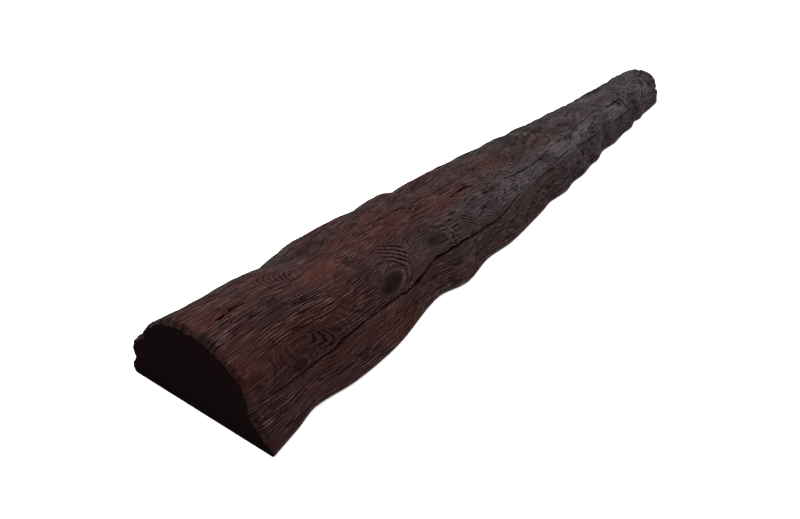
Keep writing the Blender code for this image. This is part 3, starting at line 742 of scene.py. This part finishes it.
def mesh_from(name, verts, quads, tris, slots, fields):
    """A mesh from arrays, with the material of each quad and with named fields at its points."""
    mesh = bpy.data.meshes.new(name)
    mesh.from_pydata(verts.tolist(), [], quads.tolist() + tris.tolist(), shade_flat=False)
    slots = np.concatenate([slots, np.full(len(tris), 2)])
    mesh.polygons.foreach_set("material_index", slots.astype(np.int32))
    for field, values in fields.items():
        layer = mesh.attributes.new(field, "FLOAT_VECTOR", "POINT")
        layer.data.foreach_set("vector", values.astype(np.float32).reshape(-1))
    mesh.validate()
    return mesh


class Socket:
    """A number in a node tree. Arithmetic on it adds Math nodes."""

    def __init__(self, tree, link):
        self.tree, self.link = tree, link

    def math(self, operation, *others):
        return self.tree.node("ShaderNodeMath", {"operation": operation}, self, *others)

    def __add__(self, other):
        return self.math("ADD", other)

    __radd__ = __add__

    def __mul__(self, other):
        return self.math("MULTIPLY", other)

    __rmul__ = __mul__

    def __sub__(self, other):
        return self.math("SUBTRACT", other)

    def __rsub__(self, other):
        return self.tree.node("ShaderNodeMath", {"operation": "SUBTRACT"}, other, self)

    def __truediv__(self, other):
        return self.math("DIVIDE", other)

    def __rtruediv__(self, other):
        return self.tree.node("ShaderNodeMath", {"operation": "DIVIDE"}, other, self)

    def __pow__(self, other):
        return self.math("POWER", other)

    def __abs__(self):
        return self.math("ABSOLUTE")

    def clip(self):
        return self.tree.node("ShaderNodeMath", {"operation": "ADD", "use_clamp": True}, self, 0.0)


class Tree:
    """Builds a node tree: one method adds any node, set up and linked."""

    def __init__(self, tree):
        self.tree = tree

    def node(self, kind, settings=None, *values, out=0, **named):
        """Adds a node. Values go to its sockets in order or by name, and out picks what comes back."""
        made = self.tree.nodes.new(kind)
        for key, value in (settings or {}).items():
            setattr(made, key, value)
        for key, value in [*enumerate(values), *named.items()]:
            socket = made.inputs[key.replace("_", " ") if isinstance(key, str) else key]
            if isinstance(value, Socket):
                self.tree.links.new(value.link, socket)
            elif value is not None:
                socket.default_value = value
        if isinstance(out, tuple):
            return [Socket(self, made.outputs[i]) for i in out]
        return None if out is None else Socket(self, made.outputs[out])

    def mix(self, factor, one, other):
        """Mixes two colours, each given as a socket or as three numbers."""
        one, other = (side if isinstance(side, Socket) else (*side, 1.0) for side in (one, other))
        unused = [None] * 5
        return self.node("ShaderNodeMix", {"data_type": "RGBA"}, factor, *unused, one, other, out=2)

    def span(self, value, low, high, to_low=0.0, to_high=1.0):
        """Maps low to high onto another range, smoothly and held at both ends."""
        settings = {"interpolation_type": "SMOOTHSTEP"}
        return self.node("ShaderNodeMapRange", settings, value, low, high, to_low, to_high)

    def fall(self, value, low, high):
        """1 below low and 0 above high, smoothly."""
        return self.span(value, low, high, 1.0, 0.0)

    def noise(self, place, scale, detail, roughness):
        values = {"Vector": place, "Scale": scale, "Detail": detail, "Roughness": roughness}
        return self.node("ShaderNodeTexNoise", None, **values)

    def place(self, x, y, z):
        return self.node("ShaderNodeCombineXYZ", None, x, y, z)

    def parts(self, vector):
        return self.node("ShaderNodeSeparateXYZ", None, vector, out=(0, 1, 2))

    def stored(self, name):
        """The three numbers kept at the mesh's points under a name."""
        return self.parts(self.node("ShaderNodeAttribute", {"attribute_name": name}, out=1))


def new_material(name):
    material = bpy.data.materials.new(name)
    material.use_nodes = True
    material.node_tree.nodes.clear()
    return material, Tree(material.node_tree)


def finish_material(tree, colour, roughness, specular, normal=None, coat=0.0, glow=0.0):
    shader = tree.node(
        "ShaderNodeBsdfPrincipled", None, Base_Color=colour, Roughness=roughness, Normal=normal,
        Coat_Weight=coat, Coat_Roughness=COAT_ROUGHNESS, Specular_IOR_Level=specular,
        Emission_Color=(1.0, 1.0, 1.0, 1.0), Emission_Strength=glow,
    )
    tree.node("ShaderNodeOutputMaterial", None, Surface=shader, out=None)


def bump(tree, height, strength, distance):
    return tree.node("ShaderNodeBump", None, Strength=strength, Distance=distance, Height=height)


def off_middle(count):
    """How far a running count is from the middle between two whole numbers."""
    return abs(count.math("FRACT") - 0.5)


def comb(count):
    """Even fibres side by side: 1 on a fibre's back, -1 in the groove between two."""
    return (off_middle(count) - 0.25) * 4.0


def grain_noise(tree, run, across, name):
    """One of the stain's patterns, stretched along the grain."""
    length, width, layer, detail, roughness = PATTERNS[name]
    return tree.noise(tree.place(run / length, across / width, layer), 1.0, detail, roughness)


def thin_lines(tree, run, across, name):
    """Thin lines where a smooth noise crosses its middle: 1 on the line, 0 away from it."""
    length, width, layer, thin = THIN_LINES[name]
    cells = tree.noise(tree.place(run / length, across / width, layer), 1.0, 1.0, 0.5)
    return tree.fall(abs(cells - 0.5), 0.0, thin)


def hairlines_and_dent_shade(tree, wobble):
    """The thin drying cracks that are too fine for the solid, and the patches of painted shade in dents: 1 on
    a crack or patch, 0 away from it.
    """
    off, length, dark = tree.stored("hair")
    off = abs(off + HAIR_WOBBLE * (wobble - 0.5))
    return tree.fall(off + abs(length) ** 4.0, *HAIR_EDGE) * dark


def knot_rings(tree, wobble):
    """The smooth dark eye of a healed knot in its pale and dark rings, stronger towards the far side."""
    away, side, power = tree.stored("eye")
    away = away + EYE_WOBBLE * (wobble - 0.5)
    inside = EYE_TONE * tree.fall(away, *EYE_BORDER)
    calm = EYE_CALM * tree.fall(away, *EYE_SURROUND) * power
    rings = sum(tone * tree.fall(abs(away - middle), 0.0, wide) for middle, wide, tone in EYE_RINGS)
    return (inside + rings * side) * power, calm


def rib_lines(tree, wobble):
    """The dark lines of the ribbed figure, and how strongly they show."""
    count, power, _ = tree.stored("rib")
    turn = off_middle(count + RIB_WOBBLE * (wobble - 0.5))
    return tree.span(turn, *RIB_LINE), power


def stained_bark_side(settings):
    """The rounded side: dark red-brown stain, paler on the raised fibres and nearly black in the cracks, with
    painted sheen, glints and shade.
    """
    material, tree = new_material("stained_rounded_side")
    run, across, ring = tree.stored("grain")
    crack, figure, open_face = tree.stored("state")
    red_zone, grey_sheen_zone, share = tree.stored("tint")
    drift, broken, dash, tuft, cloud, grove, wobble = (
        grain_noise(tree, run, across, name) for name in PATTERNS
    )
    slit, glint, crease, far_glint, fold = (thin_lines(tree, run, across, name) for name in THIN_LINES)

    # Where the look changes: along the beam, round it and from patch to patch
    far = tree.span(run, *FAR_HALF)
    close = tree.fall(run, *CLOSE_HALF)
    near = tree.fall(run, *NEAR_FOOT)
    # Band of painted sheen on the right shoulder
    worn = tree.span(share, *SHEEN_LOW) * tree.fall(share, *SHEEN_HIGH) * tree.span(run, *SHEEN_START)
    grove = tree.span(grove, *GROVES)
    figure = figure + tree.span(cloud, *FIGURED_CLOUDS) * CLOUD_FIGURE
    smooth = grey_sheen_zone * (1 - RED_LOSS * red_zone)
    red = (red_zone + CLOUD_RED * tree.span(cloud, *RED_CLOUDS)).clip()
    rib, ribbed = rib_lines(tree, wobble)
    knot, calm = knot_rings(tree, wobble)
    hair = hairlines_and_dent_shade(tree, wobble)

    # Straight grain, and where it shows
    plain = 1 - TO_FIGURE * figure - TO_SMOOTH * smooth * smooth - TO_RIBS * ribbed - calm - TO_FAR * far
    plain = plain.clip() * (LEAST_GRAIN + (1 - LEAST_GRAIN) * grove)
    plain = plain * (1 + FLANK_GAIN * tree.fall(share, *FLANK) * tree.span(run, *FLANK_START))
    plain = plain * (1 - LOW_SIDE_LOSS * tree.fall(share, *LOW_SIDE) * near)
    strand = comb(across / STRAND_PITCH + STRAND_DRIFT * drift) * close
    cord = comb(across / CORD_PITCH - CORD_DRIFT * drift) * (1 - close) * (1 - far)
    combed = (strand + CORD_SHARE * cord) * tree.span(broken, *UNBROKEN)

    # Tone: 0.5 on plain wood, more on the fibres and less in what is sunk
    flecks = COMB_TONE * combed + DASH_TONE * (dash - 0.5) + TUFT_TONE * far * (tuft - 0.5)
    tone = 0.5 + (flecks + GLINT_TONE * glint - SLIT_TONE * slit) * plain - RIB_TONE * rib * ribbed
    folded = NEAR_FOLDS + (1 - NEAR_FOLDS) * far
    tone = tone - FOLD_TONE * fold * folded + CLOUD_TONE * far * (cloud - 0.5)
    turn = off_middle(ring + RING_WOBBLE * (wobble - 0.5))
    line, rim = tree.span(turn, *FIGURE_LINE), tree.fall(turn, *FIGURE_RIM)
    tone = tone - (LINE_TONE + LINE_WOBBLE_TONE * wobble) * line * figure + RIM_TONE * rim * figure
    # Painted glint lines and dark crease lines of the far half and of the band of painted sheen
    tone = tone + (FAR_GLINT_TONE * far_glint - CREASE_TONE * crease) * (far + SHEEN_BAND_TONE * worn) + knot

    # Stain of the ground, the raised fibres, the soft wood and the cracks, with painted sheen and painted
    # shade
    ground = tree.mix(red, settings.shade_colour, settings.red_colour)
    # Grey painted sheen on the smooth zones
    ground = tree.mix((smooth * GREY_SHEEN_SHARE).clip(), ground, settings.grey_sheen_colour)
    # Cool grey painted sheen towards the far end and low on the middle, where the view grazes the wood
    cool_sheen = tree.span(run, *COOL_START) * tree.fall(share, *COOL_SIDE) * (1 - far)
    ground = tree.mix(COOL_FAR * far + COOL_MIDDLE * cool_sheen, ground, settings.cool_sheen_colour)
    # Pale blue-grey painted sheen on the right shoulder
    ground = tree.mix(worn * tree.span(cloud, *SHEEN_CLOUDS), ground, settings.shoulder_sheen_colour)
    # Painted shade: darker at the far foot and far left, on the low near flank and on the left side, as the
    # light falls
    deep = far * (tree.span(share, *SHADE_FOOT) + tree.span(share, *SHADE_FAR_LEFT))
    deep = deep + tree.span(share, *SHADE_NEAR_LOW) * tree.fall(run, *NEAR_LOW_END)
    ground = tree.mix(deep + tree.span(share, *SHADE_LEFT), ground, settings.sunk_and_shade_colour)
    light = tree.mix(red * RED_FIBRES, settings.fibre_colour, settings.red_fibre_colour)
    # Raised fibres turn blue-grey under the painted sheen of the far half and of the right shoulder
    light = tree.mix(FAR_FIBRES * far + SHEEN_FIBRES * worn, light, settings.sheen_fibre_colour)
    colour = tree.mix(tree.span(tone, *FIBRE_TONES), ground, light)
    colour = tree.mix(tree.span(tone, *SUNK_TONES), colour, settings.sunk_and_shade_colour)
    rim_reach = RIM_REACH + sum(wider * tree.span(share, *border) for wider, border in RIM_WIDER)
    from_end = run.math("MINIMUM", LENGTH - run) - RIM_RAGGED * (grove - 0.5)
    edge = RIM_STAIN * tree.fall(from_end, RIM_DARKEST, rim_reach)
    # Nearly black in the cracks and folds, as stain and painted shade of their depth, on the hairlines and
    # the painted dent shade, and on the stained rims of the ends
    colour = tree.mix((tree.span(crack, *CRACK_DARK) + hair + edge).clip(), colour, settings.crack_colour)
    roughness = DULL - TONE_GLOSS * (tone - 0.5) - SMOOTH_GLOSS * smooth - FIGURE_GLOSS * figure
    coat = tree.span(tone, *WAXED_TONES, 0.0, settings.sheen)
    normal = bump(tree, (tone - HAIR_SINK * hair) * open_face, 1.0, STAIN_BUMP)
    finish_material(tree, colour, roughness, settings.specular, normal, coat)
    return material


def stained_sawn_face(settings):
    """The sawn underside: the same stain over the saw's cross marks."""
    material, tree = new_material("stained_sawn_face")
    x, y, _ = tree.parts(tree.node("ShaderNodeTexCoord", out=3))
    streak = tree.noise(tree.place(x / STREAK_LENGTH, y / STREAK_WIDTH, 1.0), 1.0, 3.0, 0.55)
    bow = y * y * SAW_BOW
    marks = tree.noise(tree.place((x + bow) / SAW_STEP, y / SAW_MARK_LENGTH, 2.0), 1.0, 2.0, 0.5)
    colour = tree.mix(tree.span(streak, *STREAK_TONES), settings.sunk_and_shade_colour, settings.shade_colour)
    colour = tree.mix(tree.span(marks, *SAW_TONES), colour, settings.fibre_colour)
    normal = bump(tree, 0.5 * streak + marks, 0.5, SAW_BUMP)
    finish_material(tree, colour, DULL + MARK_DULL * marks, settings.specular, normal)
    return material


def stained_end_grain(settings):
    """The sawn ends: end grain drinks the stain and the shade of the ends is painted in too, so it is nearly
    black, with faint rings about the pith.
    """
    material, tree = new_material("stained_end_grain")
    place = tree.node("ShaderNodeTexCoord", out=3)
    x, y, z = tree.parts(place)
    out_y, out_z = y - PITH_SIDE, z - PITH_HEIGHT
    distance = (out_y * out_y + out_z * out_z).math("SQRT")
    wander = tree.noise(place, END_WANDER_SCALE, 2.0, 0.5)
    line = tree.span(off_middle(distance / END_RING_STEP + END_WANDER * wander), *END_LINE)
    saw = tree.place(y / END_SAW_LENGTH, (z + y * END_SAW_SLOPE) / END_SAW_STEP, x)
    saw = tree.noise(saw, 1.0, 2.0, 0.5)
    pore = tree.noise(place, PORE_SCALE, 2.0, 0.6)
    colour = tree.mix(line * END_LINE_SHARE, settings.end_colour, settings.crack_colour)
    colour = tree.mix(tree.span(pore, *PORE_TONES), colour, settings.sunk_and_shade_colour)
    normal = bump(tree, 0.4 * pore + 0.5 * saw - 0.4 * line, 0.5, SAW_BUMP)
    finish_material(tree, colour, END_DULL + PORE_DULL * pore, 0.0, normal)
    return material


def relief_tree(materials):
    """Geometry nodes that raise the fibres and sink the lines of the figure along the surface."""
    group = bpy.data.node_groups.new("grain_relief", "GeometryNodeTree")
    face = group.interface
    face.new_socket(name="Timber", in_out="INPUT", socket_type="NodeSocketGeometry")
    for name in ("Figure Depth", "Fibre Height", "Ridge Height"):
        socket = face.new_socket(name=name, in_out="INPUT", socket_type="NodeSocketFloat")
        socket.subtype = "DISTANCE"
        socket.default_value = RELIEF_HEIGHT
    face.new_socket(name="Timber", in_out="OUTPUT", socket_type="NodeSocketGeometry")
    tree = Tree(group)
    timber, figure_depth, fibre_height, ridge_height = tree.node("NodeGroupInput", out=(0, 1, 2, 3))
    named = {"data_type": "FLOAT_VECTOR"}
    run, across, ring = tree.parts(tree.node("GeometryNodeInputNamedAttribute", named, "grain"))
    _, figure, open_face = tree.parts(tree.node("GeometryNodeInputNamedAttribute", named, "state"))
    streak = tree.place(run / FIBRE_SIZE[0], across / FIBRE_SIZE[1], ring * FIBRE_SIZE[2])
    streak = tree.noise(streak, 1.0, 1.0, 0.5) - 0.5
    ridge = tree.place(run / RIDGE_SIZE[0], across / RIDGE_SIZE[1], RIDGE_SIZE[2])
    ridge = tree.noise(ridge, 1.0, 1.0, 0.5) - 0.5
    line = (off_middle(ring) * 2.0) ** 2.0
    up = (streak * fibre_height + ridge * ridge_height) * RELIEF_GAIN * (1 - FIGURE_CALM * figure)
    up = up - line * figure * figure_depth
    outwards = tree.node("GeometryNodeInputNormal")
    offset = tree.node("ShaderNodeVectorMath", {"operation": "SCALE"}, outwards, Scale=up * open_face)
    timber = tree.node("GeometryNodeSetPosition", None, timber, Offset=offset)
    index = tree.node("GeometryNodeInputMaterialIndex")
    for i, material in enumerate(materials):
        same = {"data_type": "INT", "operation": "EQUAL"}
        here = tree.node("FunctionNodeCompare", same, None, None, index, i)
        timber = tree.node("GeometryNodeSetMaterial", None, timber, Selection=here, Material=material)
    timber = tree.node("GeometryNodeRealizeInstances", None, timber)
    tree.node("NodeGroupOutput", None, timber, out=None)
    return group


def add_object(name, data):
    made = bpy.data.objects.new(name, data)
    bpy.context.scene.collection.objects.link(made)
    return made


def apply_tree(source, group, name, values):
    """Runs a tree on an object and returns the result as a plain mesh object of its own."""
    modifier = source.modifiers.new(name, "NODES")
    modifier.node_group = group
    for item in group.interface.items_tree:
        if item.in_out == "INPUT" and item.name in values:
            modifier[item.identifier] = values[item.name]
    graph = bpy.context.evaluated_depsgraph_get()
    evaluated = source.evaluated_get(graph)
    mesh = bpy.data.meshes.new_from_object(evaluated, preserve_all_data_layers=True, depsgraph=graph)
    source.modifiers.clear()
    mesh.name = name
    return add_object(name, mesh)


def stain(name, what, colour):
    limits = {"min": 0, "max": 1, "subtype": "COLOR", "size": 3}
    return FloatVectorProperty(name=name, description="Colour of " + what, default=colour, **limits)


def relief_height(name, what, height):
    limits = {"min": 0, "max": 0.003, "subtype": "DISTANCE", "unit": "LENGTH"}
    return FloatProperty(name=name, description=what, default=height, **limits)


def shine(name, what, weight):
    return FloatProperty(name=name, description=what, default=weight, min=0, max=1, subtype="FACTOR")


def strength(name, of_what, power):
    return FloatProperty(name=name, description="Strength of the " + of_what, default=power, min=0)


class TimberSettings(bpy.types.PropertyGroup):
    """Relief and stain of the timber."""

    figure_depth: relief_height("Figure Depth", "How deep the lines of the swirled grain are sunk", 0.0009)
    fibre_height: relief_height("Fibre Height", "How far the hard fibres stand above the soft wood", 0.0006)
    ridge_height: relief_height("Ridge Height", "Height of the broader ridges along the grain", 0.0006)
    shade_colour: stain("Ground Stain", "the stain over most of the wood", (0.0215, 0.0086, 0.0081))
    red_colour: stain("Red Stain", "the long streaks where the stain is thin", (0.04, 0.0126, 0.0098))
    # Colour of the grey painted sheen on the smooth zones
    grey_sheen_colour: stain("Grey Patches", "the smooth rubbed patches", (0.012, 0.0073, 0.0076))
    # Colour of the painted sheen on the right shoulder
    shoulder_sheen_colour: stain("Worn Shoulder", "the worn right shoulder", (0.052, 0.043, 0.047))
    # Colour of the raised fibres under the painted sheen of the far half and the right shoulder
    sheen_fibre_colour: stain("Worn Fibres", "the raised fibres of the worn wood", (0.076, 0.062, 0.068))
    # Colour of the cool grey painted sheen towards the far end
    cool_sheen_colour: stain("Cool Stain", "the stain towards the far end", (0.026, 0.0215, 0.0245))
    fibre_colour: stain("Raised Fibres", "the fibres that the stain was rubbed off", (0.086, 0.047, 0.045))
    red_fibre_colour: stain("Red Fibres", "the raised fibres where the stain is thin", (0.12, 0.041, 0.028))
    # Also the colour of the painted shade on the darker sides
    sunk_and_shade_colour: stain("Sunk Lines", "the soft wood between the fibres", (0.003, 0.0012, 0.0012))
    # Also the colour of the painted shade in the cracks and dents
    crack_colour: stain("Cracks", "the depth of the cracks", (0.0016, 0.0009, 0.001))
    # Darkened further by the painted shade of the ends
    end_colour: stain("End Grain", "the sawn ends", (0.005, 0.0026, 0.0028))
    specular: shine("Reflection", "Strength of the reflection all over", 0.005)
    sheen: shine("Sheen", "Weight of the wax on the raised fibres", 0.07)


class StageSettings(bpy.types.PropertyGroup):
    """Light, floor and camera."""

    sky: strength("Room Light", "light from all round", 0.1)
    sun: strength("Overhead Light", "broad overhead light", 6.6)
    panel: strength("Far Panel", "low panel at the far end", 24)
    floor_size: FloatProperty(
        name="Floor Size", description="Half width of the floor", default=60.0, min=1,
        subtype="DISTANCE", unit="LENGTH",
    )
    lens: FloatProperty(
        name="Lens", description="Focal length of the camera", default=LENS, min=5, unit="CAMERA",
    )


class BEAM_OT_timber(bpy.types.Operator):
    """Shapes and stains the timber, and puts it in the solid's place"""

    bl_idname = "beam.timber"
    bl_label = "Build Timber"

    def execute(self, context):
        settings = context.scene.beam_timber
        mesh = mesh_from("timber_base", *closed_timber(*skin()))
        materials = (stained_bark_side(settings), stained_sawn_face(settings), stained_end_grain(settings))
        for material in materials:
            mesh.materials.append(material)
        base = add_object("timber_base", mesh)
        sizes = {
            "Figure Depth": settings.figure_depth,
            "Fibre Height": settings.fibre_height,
            "Ridge Height": settings.ridge_height,
        }
        timber = apply_tree(base, relief_tree(materials), "timber", sizes)
        bpy.data.objects.remove(base)
        timber.data.shade_smooth()
        timber.data.set_sharp_from_angle(angle=SHARP_ANGLE)
        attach(timber, "root")
        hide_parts("beam")
        return {"FINISHED"}


def pale_floor():
    material, tree = new_material("pale_floor")
    finish_material(tree, (FLOOR_GREY, FLOOR_GREY, FLOOR_GREY, 1.0), 0.9, 0.0, glow=FLOOR_GLOW)
    return material


def turned_along(direction):
    """Turn of a camera or a panel that looks in a direction."""
    return Vector(direction).to_track_quat("-Z", "Y").to_euler()


class BEAM_OT_stage(bpy.types.Operator):
    """Adds the floor, the soft light and the camera"""

    bl_idname = "beam.stage"
    bl_label = "Build Stage"

    def execute(self, context):
        settings = context.scene.beam_stage
        scene = context.scene
        scene.view_settings.view_transform = "Standard"
        world = bpy.data.worlds.new("soft_room")
        scene.world = world
        world.use_nodes = True
        back = world.node_tree.nodes["Background"]
        back.inputs["Color"].default_value = (1.0, 1.0, 1.0, 1.0)
        back.inputs["Strength"].default_value = settings.sky
        half = settings.floor_size
        mesh = bpy.data.meshes.new("floor")
        corners = [(-half, -half, 0), (half, -half, 0), (half, half, 0), (-half, half, 0)]
        mesh.from_pydata(corners, [], [(0, 1, 2, 3)])
        mesh.materials.append(pale_floor())
        floor = add_object("floor", mesh)
        floor.location.z = -FLOOR_GAP
        sun = bpy.data.lights.new("overhead_softbox", "SUN")
        sun.energy, sun.angle = settings.sun, SOFTBOX_SPREAD
        add_object("overhead_softbox", sun).rotation_euler = SOFTBOX_TURN
        area = bpy.data.lights.new("far_panel", "AREA")
        area.shape, area.energy = "RECTANGLE", settings.panel
        area.size, area.size_y = PANEL_SIZE
        screen = add_object("far_panel", area)
        screen.location = PANEL_PLACE
        screen.rotation_euler = turned_along(Vector(PANEL_AIM) - screen.location)
        screen.visible_camera = False
        camera = bpy.data.cameras.new("camera")
        camera.lens, camera.sensor_width = settings.lens, SENSOR
        camera.clip_start, camera.clip_end = 0.01, 200
        holder = add_object("camera", camera)
        holder.location = (BEAM_LOW.x - CAMERA_BACK, CAMERA_SIDE, CAMERA_HEIGHT)
        level = math.cos(CAMERA_PITCH)
        holder.rotation_euler = turned_along(
            (math.cos(CAMERA_YAW) * level, math.sin(CAMERA_YAW) * level, -math.sin(CAMERA_PITCH))
        )
        scene.camera = holder
        return {"FINISHED"}


class BEAM_PT_panel(bpy.types.Panel):
    """Lists the builders and their settings"""

    bl_idname = "BEAM_PT_panel"
    bl_label = "Half-Log Beam"
    bl_space_type = "VIEW_3D"
    bl_region_type = "UI"
    bl_category = "Beam"

    def draw(self, context):
        scene = context.scene
        for settings, operator in ((scene.beam_timber, "beam.timber"), (scene.beam_stage, "beam.stage")):
            box = self.layout.box()
            for name in settings.__annotations__:
                box.prop(settings, name)
            box.operator(operator)


CLASSES = (TimberSettings, StageSettings, BEAM_OT_timber, BEAM_OT_stage, BEAM_PT_panel)


def register():
    for cls in CLASSES:
        bpy.utils.register_class(cls)
    bpy.types.Scene.beam_timber = PointerProperty(type=TimberSettings)
    bpy.types.Scene.beam_stage = PointerProperty(type=StageSettings)


def unregister():
    del bpy.types.Scene.beam_timber
    del bpy.types.Scene.beam_stage
    for cls in reversed(CLASSES):
        bpy.utils.unregister_class(cls)


def main():
    register()
    bpy.ops.beam.timber()
    bpy.ops.beam.stage()


if __name__ == "__main__":
    main()
